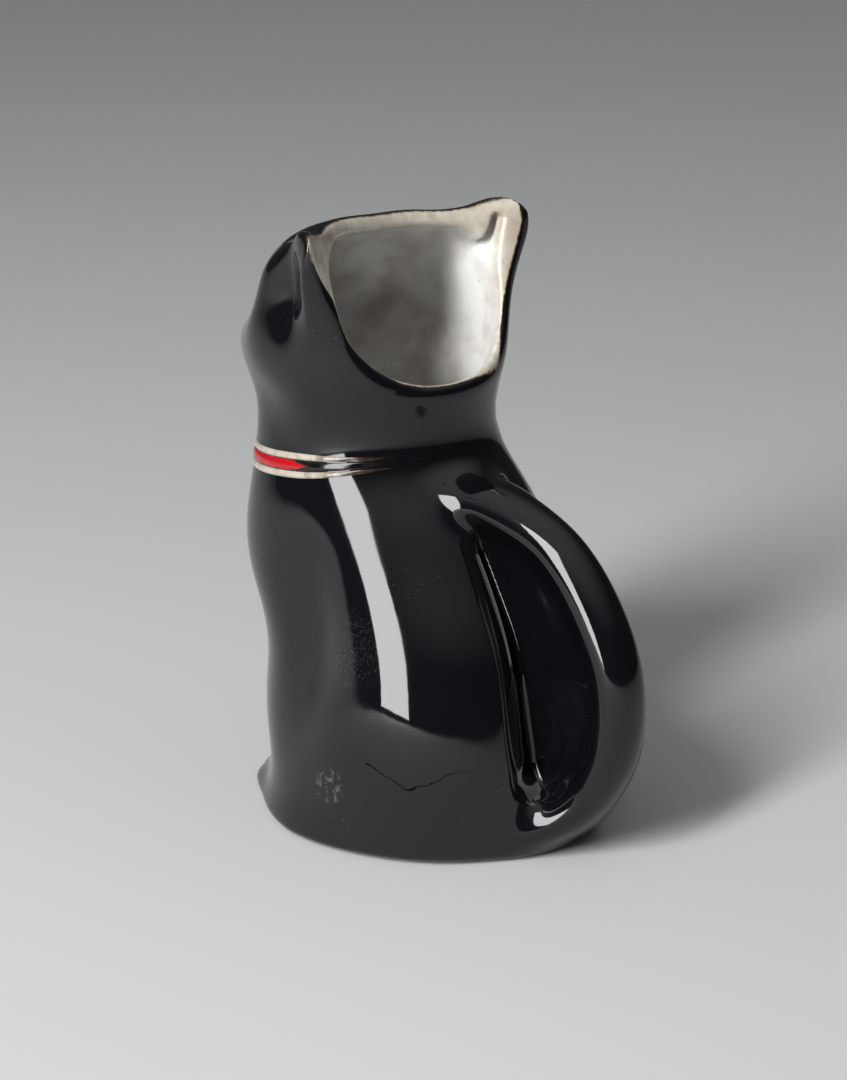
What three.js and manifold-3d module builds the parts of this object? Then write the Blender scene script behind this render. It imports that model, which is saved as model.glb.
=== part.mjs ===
// Cat-shaped pitcher: a slip-cast, glazed jug in the form of a sitting cat.
// The belly is the body, the back of the head is scooped away as the mouth, and the tail is the handle.
// Millimetres, +Z up. The cat faces -Y, so its left side is +X. The origin is under the middle of the foot.
import * as THREE from "three";
import Module from "manifold-3d";

const wasm = await Module();
wasm.setup();

// Overall sizes
const HEIGHT = 120; // table to ear tips
const WIDTH = 68; // across the foot
const TAIL_REACH = 52.2; // middle of the body to the back of the tail

// Castings
const WALL = 3;
const FLOOR = 4.5;
const JOINT_GAP = 0.3; // slip joint between one casting and the next
const FOOT_RING = 6; // width of the flat ring that the pitcher stands on
const FOOT_RECESS = 1.2;
const FOOT_EDGE = 1.6; // rounding of the foot's outer edge

// Collar, a clay strip laid over the joint between body and head
const COLLAR_LEVEL = 9.05; // stations above the table, on the neck's axis
const COLLAR_TILT = 6.5; // degrees, lower at the throat
const BAND_WIDTH = 2.4;
const LINE_WIDTH = 1.2;
const COLLAR_SEAT = 1; // depth of the groove that the collar lies in
const COLLAR_PROUD = 0.25;
const COLLAR_CLEARANCE = 0.3;

// Tail handle, a bar domed on the outside that spreads where it runs into the body
const TAIL_WIDTH = 11;
const TAIL_DEPTH = 9.6;
const TAIL_WIDEST = 1.9; // its widest line lies this far inside the middle of its depth
const TAIL_ROOT_WIDTH = 17.6; // where it leaves the back
const TAIL_FOOT_WIDTH = 28; // where it runs into the foot
const TAIL_LIFT = 0.6; // underside above the table

// Web between the tail and the body, dished so that it is thin beside the tail and thick at the back
const WEB_THICKNESS = 4.8;
const WEB_EVEN = 6; // distance from the tail's line over which the thickness stays even
const WEB_DISH = 14; // further distance over which it grows
const WEB_BACK_THICKNESS = 12.4;
const WEB_MIDDLE = { behind: 14, level: 4.5 }; // middle of the loop, which it thickens towards

// Outline of the cat, one row every STATION_STEP upwards: how far forward the section's centre lies, its
// radius to the front, to the back and to each side, and the side radius that the inside is drawn from.
const DRAWN_WIDTH = 68;
const STATIONS = [
  { centre: 6, front: 30, back: 40, side: 34, hollow: 34 },
  { centre: 5, front: 26.5, back: 39.5, side: 33.2, hollow: 33.2 },
  { centre: 4, front: 31, back: 39, side: 33, hollow: 33 },
  { centre: 3, front: 32.5, back: 36, side: 32.5, hollow: 32.5 },
  { centre: 2.5, front: 32, back: 33.5, side: 32, hollow: 32 },
  { centre: 3.5, front: 33.5, back: 31.5, side: 31.5, hollow: 31.5 },
  { centre: 6, front: 37.5, back: 29, side: 30.5, hollow: 30.5 },
  { centre: 9, front: 36.5, back: 26.5, side: 29, hollow: 29 },
  { centre: 12.5, front: 31, back: 25, side: 27.5, hollow: 27.5 },
  { centre: 15, front: 28, back: 20, side: 24.5, hollow: 24.5 },
  { centre: 15, front: 28, back: 19, side: 23.5, hollow: 23.5 },
  { centre: 14.5, front: 30, back: 20.5, side: 26, hollow: 26 },
  { centre: 13, front: 30, back: 20.5, side: 26, hollow: 25.5 },
  { centre: 11.5, front: 29, back: 22, side: 27, hollow: 24.8 },
  { centre: 9.5, front: 25, back: 24, side: 29, hollow: 23.5 },
  { centre: 7.5, front: 12.5, back: 24, side: 29.3, hollow: 21 },
];
const STATION_STEP = HEIGHT / (STATIONS.length - 1);

// Soft swellings and hollows, the same on both sides. Angles are degrees from the nose, heights are in
// stations, and rise is in millimetres.
const SWELLINGS = [
  { part: "haunch", angle: 135, level: 3, spread: 30, tall: 3.25, rise: 3.2 },
  { part: "flank hollow", angle: 86, level: 4.88, spread: 19, tall: 2.38, rise: -4 },
  { part: "foreleg", angle: 34, level: 3.25, spread: 16, tall: 3, rise: 1.5 },
  { part: "forepaw", angle: 32, level: 0.25, spread: 20, tall: 0.69, rise: 4.2 },
  { part: "outer toe", angle: 66, level: 0, spread: 22, tall: 0.88, rise: 1.2 },
  { part: "heel", angle: 142, level: 0, spread: 30, tall: 0.63, rise: -1 },
  { part: "shin", angle: 17, level: 2.75, spread: 10, tall: 3, rise: 1.5 },
  { part: "between the forelegs", angle: 0, level: 1.88, spread: 6, tall: 2.63, rise: -7 },
  { part: "muzzle", angle: 0, level: 11.5, spread: 30, tall: 0.88, rise: 6.3 },
  { part: "cheek", angle: 58, level: 12, spread: 22, tall: 1, rise: 1.2 },
  { part: "eye hollow", angle: 34, level: 13, spread: 13, tall: 0.63, rise: -1.4 },
  { part: "eye socket", angle: 21, level: 13, spread: 10, tall: 0.63, rise: -1.2 },
  { part: "muzzle pad", angle: 13, level: 11.19, spread: 9, tall: 0.56, rise: 1.8 },
  { part: "nose", angle: 0, level: 11.88, spread: 5, tall: 0.3, rise: 1.6 },
  { part: "chin", angle: 0, level: 10.31, spread: 12, tall: 0.4, rise: 2 },
  { part: "under the jaw", angle: 62, level: 10.5, spread: 22, tall: 0.75, rise: -1.2 },
];

// Ears are sharp blades at the sides of the head, each with a hollow in front and a dip beside the crown.
const EAR = { angle: 97, spread: 7, low: 11.9, high: 14.25, rise: 3 };
const EAR_HOLLOW = { angle: 79, spread: 12, level: 13.5, tall: 1.13, depth: 3.8 };
const CROWN_DIP = { offset: 18, spread: 7.5, low: 13, high: 15, depth: 1.8 };

// Hollow down the back on each side of the tail's web, narrower towards its top.
const FINGER_HOLLOW = {
  halfAngle: 14,
  topHalfAngle: 9,
  narrowsFrom: 2.5,
  narrowsTo: 7.25,
  low: 1.56,
  high: 7.88,
  lowEase: 0.56,
  highEase: 0.88,
  depth: 8,
};
const HOLLOW_INSIDE = 8; // degrees wider on the inside of the wall
const HOLLOW_SIDE_TURN = 2; // degrees that a millimetre takes up at the hollow's sides

// Scoop that opens the head: forward position of the cut on the middle line, from nape to crown.
const SCOOP = [
  { forward: -20, level: 10 },
  { forward: -9.5, level: 10.75 },
  { forward: -4, level: 11.1 },
  { forward: 1, level: 11.75 },
  { forward: 6.5, level: 12.75 },
  { forward: 12, level: 14 },
  { forward: 16.5, level: 15.25 },
];
const SCOOP_SWEEP = { sag: 8.5, half: 30, low: 10.75, high: 14 }; // the cut curves back towards the ears

// Centre line of the tail: distance behind the body's middle, and height in stations. It ends in a level
// run into the foot, given by distances alone.
const TAIL_LINE = [
  { behind: 0, level: 8.1 },
  { behind: 10, level: 8.25 },
  { behind: 20, level: 8.08 },
  { behind: 32, level: 7.49 },
  { behind: 41, level: 6.33 },
  { behind: 47, level: 4.75 },
  { behind: 46.8, level: 3 },
  { behind: 40.3, level: 1.58 },
];
const TAIL_FOOT_RUN = [31.5, 22];

const level = (n) => n * STATION_STEP;
const radians = THREE.MathUtils.degToRad;
const ease = (low, high, t) => THREE.MathUtils.smoothstep(t, low, high);
const bell = (t) => Math.exp(-t * t);

// Smooth value of one station column at a height, by a uniform cubic B-spline.
function stationAt(key, z) {
  const last = STATIONS.length - 1;
  const u = THREE.MathUtils.clamp(z / STATION_STEP, 0, last - 1e-9);
  const i = Math.floor(u);
  const t = u - i;
  const row = (k) => {
    if (k < 0) return 2 * STATIONS[0][key] - STATIONS[1][key];
    if (k > last) return 2 * STATIONS[last][key] - STATIONS[last - 1][key];
    return STATIONS[k][key];
  };
  const weights = [(1 - t) ** 3, 3 * t ** 3 - 6 * t ** 2 + 4, -3 * t ** 3 + 3 * t ** 2 + 3 * t + 1, t ** 3];
  return weights.reduce((sum, w, k) => sum + (w * row(i - 1 + k)) / 6, 0);
}

// Degrees between a direction and an angle from the nose.
function degreesAway(angle, from) {
  const turn = THREE.MathUtils.euclideanModulo(angle - from + 180, 360) - 180;
  return Math.abs(turn);
}

// Sum over an angle and its mirror image; an angle on the middle line counts once.
function bothSides(angle, at, shape) {
  const left = shape(degreesAway(angle, at));
  return at === 0 || at === 180 ? left : left + shape(degreesAway(angle, -at));
}

function swelling(angle, z) {
  return SWELLINGS.reduce((sum, s) => {
    const across = bothSides(angle, s.angle, (away) => bell(away / s.spread));
    return sum + s.rise * across * bell((z / STATION_STEP - s.level) / s.tall);
  }, 0);
}

function earRise(angle, z) {
  const up = ease(level(EAR.low), level(EAR.high), z);
  return EAR.rise * up * bothSides(angle, EAR.angle, (away) => Math.exp(-away / EAR.spread));
}

function earHollow(angle, z) {
  const h = EAR_HOLLOW;
  const across = bothSides(angle, h.angle, (away) => bell(away / h.spread));
  return h.depth * across * bell((z / STATION_STEP - h.level) / h.tall);
}

function fingerHollow(angle, z, wider) {
  const h = FINGER_HOLLOW;
  const narrowed = (h.halfAngle - h.topHalfAngle) * ease(level(h.narrowsFrom), level(h.narrowsTo), z);
  const half = h.halfAngle - narrowed + wider;
  const up = ease(level(h.low - h.lowEase), level(h.low + h.lowEase), z);
  const down = 1 - ease(level(h.high - h.highEase), level(h.high + h.highEase), z);
  return h.depth * up * down * Math.exp(-((degreesAway(angle, 180) / half) ** 4));
}

const INSIDE_SOFTENED = 0.9; // share of the swellings that shows on the inside of the wall

// A point on the cat's section at a height, moved out by `grow`, on the outside or the inside of the wall.
function formPoint(angle, z, grow, inside) {
  const a = radians(angle);
  const ahead = Math.cos(a);
  const aside = Math.sin(a);
  const reach = ahead >= 0 ? stationAt("front", z) : stationAt("back", z);
  const side = (stationAt(inside ? "hollow" : "side", z) * WIDTH) / DRAWN_WIDTH;
  const plain = 1 / Math.hypot(ahead / reach, aside / side);
  const ear = earRise(angle, z) - earHollow(angle, z);
  const detail = inside ? INSIDE_SOFTENED * swelling(angle, z) : swelling(angle, z) + ear;
  const wider = inside ? HOLLOW_INSIDE : -HOLLOW_SIDE_TURN * grow;
  const r = plain + detail - fingerHollow(angle, z, wider) + grow;
  const x = r * aside;
  const d = CROWN_DIP;
  const dip = d.depth * ease(level(d.low), level(d.high), z) * bell((Math.abs(x) - d.offset) / d.spread);
  return new THREE.Vector3(x, -(stationAt("centre", z) + r * ahead), z - dip);
}

// Directions of the section's points, closer together at the finger hollow and at the ears.
const ANGLES = (() => {
  const front = [0, 3, 6, 10, 15, 20, 26, 33, 40, 49, 58, 66, 73, 79, 85];
  const ear = [90, 94, 97, 100, 105];
  const haunch = [112, 120, 129, 137, 144, 150];
  const hollow = [155, 159, 162, 164.5, 167, 169.5, 172, 175];
  const right = [...front, ...ear, ...haunch, ...hollow];
  const left = right.slice(1).map((a) => 360 - a);
  return [...right, 180, ...left.reverse()];
})();

// Height of the collar's middle in a direction: the neck joint is a plane tipped down at the throat.
const COLLAR_HEIGHT = level(COLLAR_LEVEL);
function collarHeight(angle) {
  const p = formPoint(angle, COLLAR_HEIGHT, 0, false);
  const forward = -p.y - stationAt("centre", COLLAR_HEIGHT);
  return COLLAR_HEIGHT - Math.tan(radians(COLLAR_TILT)) * forward;
}

// A ring of section points at a height that follows the tilted joint as far as `follow` says.
function ring(z, { grow = 0, inside = false, follow = 0, lift = 0 } = {}) {
  return ANGLES.map((angle) => {
    const height = z + follow * (collarHeight(angle) - COLLAR_HEIGHT);
    const p = formPoint(angle, height, grow, inside);
    p.z += lift;
    return p;
  });
}

// Solids
function toSolid(geometry) {
  const vertProperties = new Float32Array(geometry.getAttribute("position").array);
  const triVerts = new Uint32Array(geometry.index.array);
  return new wasm.Manifold(new wasm.Mesh({ numProp: 3, vertProperties, triVerts }));
}

// A closed solid skinned over rings of equal length, counter-clockwise about their run, with fan ends.
function loft(rings) {
  const count = rings[0].length;
  const points = rings.flat();
  const middle = (r) => r.reduce((sum, p) => sum.add(p), new THREE.Vector3()).divideScalar(count);
  const start = points.push(middle(rings[0])) - 1;
  const end = points.push(middle(rings[rings.length - 1])) - 1;
  const index = [];
  for (let j = 0; j < count; j++) {
    const k = (j + 1) % count;
    for (let i = 0; i < rings.length - 1; i++) {
      const a = i * count;
      const b = a + count;
      index.push(a + j, a + k, b + k, a + j, b + k, b + j);
    }
    const top = (rings.length - 1) * count;
    index.push(start, k, j, end, top + j, top + k);
  }
  return toSolid(new THREE.BufferGeometry().setFromPoints(points).setIndex(index));
}

// A ring-shaped solid: each section is a closed polygon, and the last joins the first.
function hoop(sections) {
  const count = sections[0].length;
  const index = [];
  sections.forEach((_, i) => {
    const a = i * count;
    const b = ((i + 1) % sections.length) * count;
    for (let j = 0; j < count; j++) {
      const k = (j + 1) % count;
      index.push(a + j, b + j, b + k, a + j, b + k, a + k);
    }
  });
  return toSolid(new THREE.BufferGeometry().setFromPoints(sections.flat()).setIndex(index));
}

function meshOf(name, solid, material) {
  const { vertProperties, triVerts } = solid.getMesh();
  const geometry = new THREE.BufferGeometry()
    .setAttribute("position", new THREE.BufferAttribute(vertProperties, 3))
    .setIndex(new THREE.BufferAttribute(triVerts, 1));
  geometry.computeVertexNormals();
  const mesh = new THREE.Mesh(geometry, material);
  mesh.name = name;
  return mesh;
}

// Finishes
const blackGlaze = new THREE.MeshStandardMaterial({ color: 0x0a0a0c, roughness: 0.08, metalness: 0 });
const redEnamel = new THREE.MeshStandardMaterial({ color: 0xc4161c, roughness: 0.25, metalness: 0 });
const creamSlip = new THREE.MeshStandardMaterial({ color: 0xd9d2c0, roughness: 0.3, metalness: 0 });

// Collar groove
const COLLAR_HALF = BAND_WIDTH / 2 + COLLAR_CLEARANCE + LINE_WIDTH;
const GROOVE_HALF = COLLAR_HALF + COLLAR_CLEARANCE;
const GROOVE_SHOULDER = 0.5;
const JOIN_RUN = level(2); // height over which the rings tip to meet the joint

const belowJoint = (z) => ease(COLLAR_HEIGHT - JOIN_RUN, COLLAR_HEIGHT - GROOVE_HALF - GROOVE_SHOULDER, z);
const aboveJoint = (z) =>
  1 - ease(COLLAR_HEIGHT + GROOVE_HALF + GROOVE_SHOULDER, COLLAR_HEIGHT + JOIN_RUN, z);

// Outer form of the body up to the joint, moved out by `grow`.
const BODY_LEVELS = [0.7, 1.05, 1.4, 1.8, 2.4, 3.1, 3.8, 4.5, 5.2, 5.9, 6.5, 7.1, 7.6, 8.0, 8.3];
function bodyForm(grow) {
  const foot = [
    ring(0, { grow: grow - FOOT_EDGE }),
    ring(FOOT_EDGE * 0.3, { grow: grow - FOOT_EDGE * 0.3 }),
    ring(FOOT_EDGE, { grow }),
  ];
  const belly = BODY_LEVELS.map((n) => ring(level(n), { grow, follow: belowJoint(level(n)) }));
  const groove = [
    ring(COLLAR_HEIGHT - GROOVE_HALF - GROOVE_SHOULDER, { grow, follow: 1 }),
    ring(COLLAR_HEIGHT - GROOVE_HALF, { grow: grow - COLLAR_SEAT, follow: 1 }),
    ring(COLLAR_HEIGHT - JOINT_GAP / 2, { grow: grow - COLLAR_SEAT, follow: 1 }),
  ];
  return loft([...foot, ...belly, ...groove]);
}

// Inside of the wall, from the floor up through the neck.
const FLOOR_COVE = 4;
function bodyCavity() {
  const cove = [
    ring(FLOOR, { grow: -WALL - FLOOR_COVE, inside: true }),
    ring(FLOOR + FLOOR_COVE * 0.3, { grow: -WALL - FLOOR_COVE * 0.3, inside: true }),
    ring(FLOOR + FLOOR_COVE, { grow: -WALL, inside: true }),
  ];
  const levels = [2, 2.9, 3.8, 4.7, 5.6, 6.4, 7.2, 7.9, 8.4, COLLAR_LEVEL, 9.6];
  const rise = levels.map((n) => ring(level(n), { grow: -WALL, inside: true }));
  return loft([...cove, ...rise]);
}

function footRecess() {
  const grow = -FOOT_EDGE - FOOT_RING;
  return loft([ring(0, { grow, lift: -1 }), ring(0, { grow, lift: FOOT_RECESS })]);
}

function makeBody() {
  return bodyForm(0).subtract(bodyCavity()).subtract(footRecess());
}

// Head: outer form above the joint, hollowed, then scooped open at the back.
const MUZZLE_LEVELS = [9.75, 10.05, 10.3, 10.6, 11, 11.3, 11.6, 11.88, 12.15];
const HEAD_LEVELS = [...MUZZLE_LEVELS, 12.6, 13, 13.4, 13.8, 14.2, 14.6, 15];
function headForm() {
  const groove = [
    ring(COLLAR_HEIGHT + JOINT_GAP / 2, { grow: -COLLAR_SEAT, follow: 1 }),
    ring(COLLAR_HEIGHT + GROOVE_HALF, { grow: -COLLAR_SEAT, follow: 1 }),
    ring(COLLAR_HEIGHT + GROOVE_HALF + GROOVE_SHOULDER, { follow: 1 }),
  ];
  const skull = HEAD_LEVELS.map((n) => ring(level(n), { follow: aboveJoint(level(n)) }));
  return loft([...groove, ...skull]);
}

// The cavity follows the wall, and its roof lies one wall below the crown.
function headCavity() {
  const levels = [8.6, COLLAR_LEVEL, 9.6, 10.2, 10.8, 11.4, 12, 12.7, 13.4, 14, 14.5, 15];
  return loft(
    levels.map((n) => {
      const drop = WALL * ease(level(12.2), level(14.6), level(n));
      return ring(level(n), { grow: -WALL, inside: true, lift: -drop });
    }),
  );
}

// Everything behind the scooped cut, as sections across the head.
const SCOOP_SECTIONS = 16;
const SCOOP_POINTS = 18;
const SCOOP_BEHIND = 70; // clear of the nape
const SCOOP_HALF_WIDTH = WIDTH;
function scoopCutter() {
  const line = new THREE.SplineCurve(SCOOP.map((s) => new THREE.Vector2(s.forward, level(s.level))));
  const cut = line.getPoints(SCOOP_POINTS);
  const top = level(SCOOP[SCOOP.length - 1].level);
  const sections = [];
  for (let i = 0; i <= SCOOP_SECTIONS; i++) {
    const x = SCOOP_HALF_WIDTH * ((2 * i) / SCOOP_SECTIONS - 1);
    const swept = (z) => {
      const share = ease(level(SCOOP_SWEEP.low), level(SCOOP_SWEEP.high), z);
      return SCOOP_SWEEP.sag * share * (x / SCOOP_SWEEP.half) ** 2;
    };
    const face = cut.map((p) => new THREE.Vector3(x, swept(p.y) - p.x, p.y));
    const behind = [top, level(SCOOP[0].level)].map((z) => new THREE.Vector3(x, SCOOP_BEHIND, z));
    sections.push([...face, ...behind].reverse());
  }
  return loft(sections);
}

function makeHead() {
  return headForm().subtract(headCavity()).subtract(scoopCutter());
}

// Tail: a bar that leaves the back just under the collar, loops down behind the body and runs in at the foot,
// with a thin web inside the loop. It is trimmed to the body so that it seats all round.
const TAIL_STEPS = 40;
const TAIL_SIDES = 16;
const TAIL_SPREADS = { root: 0.3, foot: 0.76, end: 0.96 }; // shares of its length between which it spreads

function tailLine() {
  const reach = Math.max(...TAIL_LINE.map((p) => p.behind));
  const stretch = (TAIL_REACH - TAIL_DEPTH / 2) / reach;
  const highest = collarHeight(180) - GROOVE_HALF - TAIL_DEPTH / 2;
  const up = (n) => Math.min(level(n), highest);
  const loop = TAIL_LINE.map((p) => new THREE.Vector3(0, p.behind * stretch, up(p.level)));
  const foot = TAIL_FOOT_RUN.map((y) => new THREE.Vector3(0, y, TAIL_LIFT + TAIL_DEPTH / 2));
  return new THREE.CatmullRomCurve3([...loop, ...foot]);
}

// One side of the section's rounded square, from a sine or cosine.
const squared = (t) => Math.sign(t) * Math.abs(t) ** (2 / 2.4);

function tailBar(line) {
  const rings = [];
  for (let i = 0; i <= TAIL_STEPS; i++) {
    const u = i / TAIL_STEPS;
    const centre = line.getPointAt(u);
    const along = line.getTangentAt(u);
    const out = new THREE.Vector3(0, -along.z, along.y);
    const root = (TAIL_ROOT_WIDTH - TAIL_WIDTH) * (1 - ease(0, TAIL_SPREADS.root, u));
    const foot = (TAIL_FOOT_WIDTH - TAIL_WIDTH) * ease(TAIL_SPREADS.foot, TAIL_SPREADS.end, u);
    const width = TAIL_WIDTH + root + foot;
    rings.push(
      Array.from({ length: TAIL_SIDES }, (_, j) => {
        const a = (2 * Math.PI * j) / TAIL_SIDES;
        const rise = squared(-Math.sin(a));
        const deep = rise > 0 ? TAIL_DEPTH / 2 + TAIL_WIDEST : TAIL_DEPTH / 2 - TAIL_WIDEST;
        const p = centre.clone().addScaledVector(out, rise * deep - TAIL_WIDEST);
        p.x = (squared(Math.cos(a)) * width) / 2;
        return p;
      }),
    );
  }
  return loft(rings);
}

const WEB_POINTS = 24;
function tailWeb(line) {
  const centre = new THREE.Vector3(0, WEB_MIDDLE.behind, level(WEB_MIDDLE.level));
  const outline = line.getSpacedPoints(WEB_POINTS);
  const thin = WEB_THICKNESS / 2;
  const thick = WEB_BACK_THICKNESS / 2;
  const onePlane = ([x, inset]) =>
    outline.map((p) => p.clone().lerp(centre, inset / p.distanceTo(centre)).setX(x));
  const steps = [
    [thick, WEB_EVEN + WEB_DISH],
    [thin, WEB_EVEN],
    [thin - 0.05, 0],
  ];
  const mirrored = steps.map(([x, inset]) => [-x, inset]).reverse();
  return loft([...steps, ...mirrored].map(onePlane));
}

function makeTail() {
  const line = tailLine();
  return tailBar(line).add(tailWeb(line)).subtract(bodyForm(JOINT_GAP));
}

// One strip of the collar between two heights measured from the joint, lying in the groove.
function collarStrip(low, high) {
  const inner = COLLAR_CLEARANCE - COLLAR_SEAT;
  const edge = COLLAR_PROUD - 0.2;
  const middle = (low + high) / 2;
  const corners = [
    [inner, low],
    [edge, low],
    [COLLAR_PROUD, middle],
    [edge, high],
    [inner, high],
  ];
  const sections = ANGLES.map((angle) => {
    const height = collarHeight(angle);
    return corners.map(([grow, up]) => formPoint(angle, height + up, grow, false));
  });
  return hoop(sections);
}

const BAND_HALF = BAND_WIDTH / 2;
const LINE_LOW = BAND_HALF + COLLAR_CLEARANCE;

const castings = new THREE.Group();
castings.add(
  meshOf("body", makeBody(), blackGlaze),
  meshOf("head", makeHead(), blackGlaze),
  meshOf("tail_handle", makeTail(), blackGlaze),
);
const collar = new THREE.Group();
collar.add(
  meshOf("collar_band", collarStrip(-BAND_HALF, BAND_HALF), redEnamel),
  meshOf("collar_upper_line", collarStrip(LINE_LOW, LINE_LOW + LINE_WIDTH), creamSlip),
  meshOf("collar_lower_line", collarStrip(-LINE_LOW - LINE_WIDTH, -LINE_LOW), creamSlip),
);

// The whole cat is moved so that the origin lies under the middle of its box.
const pitcher = new THREE.Group();
pitcher.add(castings, collar);
const middle = new THREE.Box3().setFromObject(pitcher).getCenter(new THREE.Vector3());
pitcher.position.set(-middle.x, -middle.y, 0);

export default pitcher;
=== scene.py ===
import math

import bpy
import numpy as np
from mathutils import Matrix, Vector


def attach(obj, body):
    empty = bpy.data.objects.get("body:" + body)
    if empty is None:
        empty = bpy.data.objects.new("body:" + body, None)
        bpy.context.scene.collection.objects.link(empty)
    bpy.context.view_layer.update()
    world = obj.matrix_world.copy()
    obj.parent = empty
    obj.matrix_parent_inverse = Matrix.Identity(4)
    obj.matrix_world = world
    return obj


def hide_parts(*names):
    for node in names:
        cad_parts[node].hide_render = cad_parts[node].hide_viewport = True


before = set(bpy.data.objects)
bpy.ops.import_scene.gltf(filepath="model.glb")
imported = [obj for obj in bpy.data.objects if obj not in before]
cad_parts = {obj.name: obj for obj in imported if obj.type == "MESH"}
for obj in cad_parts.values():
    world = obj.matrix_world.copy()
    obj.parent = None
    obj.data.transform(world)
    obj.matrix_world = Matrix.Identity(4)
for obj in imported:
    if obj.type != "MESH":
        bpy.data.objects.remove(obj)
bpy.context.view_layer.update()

# Camera and studio.
# The jug stands on a plain pale floor in a dim grey room and is seen from its left rear, a little from above.
# A tall lamp on its left shows only in reflections, as a window does, and a narrower one there gives the light.
MM = 0.001
PICTURE_HIGH = 1080  # pixels
LAMP_TURN = math.radians(99)  # from the cat's nose towards its left side
LAMP_PLACE = Vector((math.sin(LAMP_TURN), -math.cos(LAMP_TURN), 0.68))
JUG_MIDDLE = Vector((0, 0, 0.06))
FLOOR_ROUND, FLOOR_UP, FLOOR_CORNERS = 2.5, -0.0001, 64

scene = bpy.context.scene
scene.view_settings.view_transform = "Standard"

camera_data = bpy.data.cameras.new("camera")
camera_data.lens = 88.0
camera_data.sensor_width = 36.0
camera_data.shift_x = -16.5 / PICTURE_HIGH
camera_data.shift_y = -33.0 / PICTURE_HIGH
camera_data.clip_start = 0.01
camera = bpy.data.objects.new("camera", camera_data)
scene.collection.objects.link(camera)
camera.location = Vector((353.55, 352.55, 212)) * MM
aim = Vector((0, -1, 62)) * MM
camera.rotation_mode = "QUATERNION"
camera.rotation_quaternion = (aim - camera.location).to_track_quat("-Z", "Y")
scene.camera = camera

world = bpy.data.worlds.new("room")
scene.world = world
world.use_nodes = True
world_nodes, world_links = world.node_tree.nodes, world.node_tree.links
sky_place = world_nodes.new("ShaderNodeTexCoord")
sky_height = world_nodes.new("ShaderNodeSeparateXYZ")
sky_ramp = world_nodes.new("ShaderNodeValToRGB")
sky_ramp.color_ramp.interpolation = "EASE"
sky_ramp.color_ramp.elements[0].position = 0.42
sky_ramp.color_ramp.elements[0].color = (0.035, 0.037, 0.041, 1)
sky_ramp.color_ramp.elements[1].position = 1.0
sky_ramp.color_ramp.elements[1].color = (0.55, 0.56, 0.58, 1)
world_links.new(sky_place.outputs["Generated"], sky_height.inputs["Vector"])
world_links.new(sky_height.outputs["Z"], sky_ramp.inputs["Fac"])
world_links.new(sky_ramp.outputs["Color"], world_nodes["Background"].inputs["Color"])


def softbox(name, width, height, watts):
    """A lamp at the jug's left, turned to its middle."""
    lamp = bpy.data.lights.new(name, "AREA")
    lamp.shape = "RECTANGLE"
    lamp.size = width
    lamp.size_y = height
    lamp.energy = watts
    stand = bpy.data.objects.new(name, lamp)
    scene.collection.objects.link(stand)
    stand.location = LAMP_PLACE
    stand.visible_camera = False
    stand.rotation_mode = "QUATERNION"
    stand.rotation_quaternion = (JUG_MIDDLE - LAMP_PLACE).to_track_quat("-Z", "Y")
    return stand


softbox("window", 0.6, 1.5, 35).visible_diffuse = False
softbox("key", 0.2, 0.8, 23).visible_glossy = False

floor_mesh = bpy.data.meshes.new("floor")
floor_turns = np.linspace(0, 2 * math.pi, FLOOR_CORNERS, False)
floor_edge = [(FLOOR_ROUND * math.cos(a), FLOOR_ROUND * math.sin(a), FLOOR_UP) for a in floor_turns]
floor_mesh.from_pydata(floor_edge, [], [tuple(range(FLOOR_CORNERS))])
floor = bpy.data.objects.new("floor", floor_mesh)
scene.collection.objects.link(floor)
floor_paper = bpy.data.materials.new("floor_paper")
floor_paper.use_nodes = True
floor_shader = floor_paper.node_tree.nodes["Principled BSDF"]
floor_shader.inputs["Base Color"].default_value = (0.5, 0.51, 0.5, 1)
floor_shader.inputs["Roughness"].default_value = 0.9
floor_mesh.materials.append(floor_paper)

# Clay castings: body, head and tail.
# Each is slip-cast in white earthenware with an even wall, and they are luted together wet, so the outside is
# one smooth skin with soft fillets. Sizes are mm, and the clay is a field of distances, negative inside it.
VOXEL = 0.7
FORWARD_OF_ORIGIN = -1.0  # y of the body's axis, which the stations are measured from
HEIGHT = 120.0
STATION_STEP = 8.0
CENTRE = [6, 5, 4, 3, 2.5, 3.5, 6, 9, 12.5, 15, 15, 14.5, 13, 11.5, 9.5, 7.5]
FRONT = [30, 26.5, 31, 32.5, 32, 33.5, 37.5, 36.5, 31, 28, 28, 30, 30, 29, 25, 12.5]
BACK = [40, 39.5, 39, 36, 33.5, 31.5, 29, 26.5, 25, 20, 19, 20.5, 20.5, 22, 24, 24]
SIDE = [34, 33.2, 33, 32.5, 32, 31.5, 30.5, 29, 27.5, 24.5, 23.5, 26, 26, 27, 29, 28]
HOLLOW_SIDE = SIDE[:12] + [26, 25.5, 24, 21]  # narrow between the ears, which are nearly solid
LEFT_HOLLOW_WIDER = 1.6
FOOT_ROUNDING = 2.4
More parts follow.
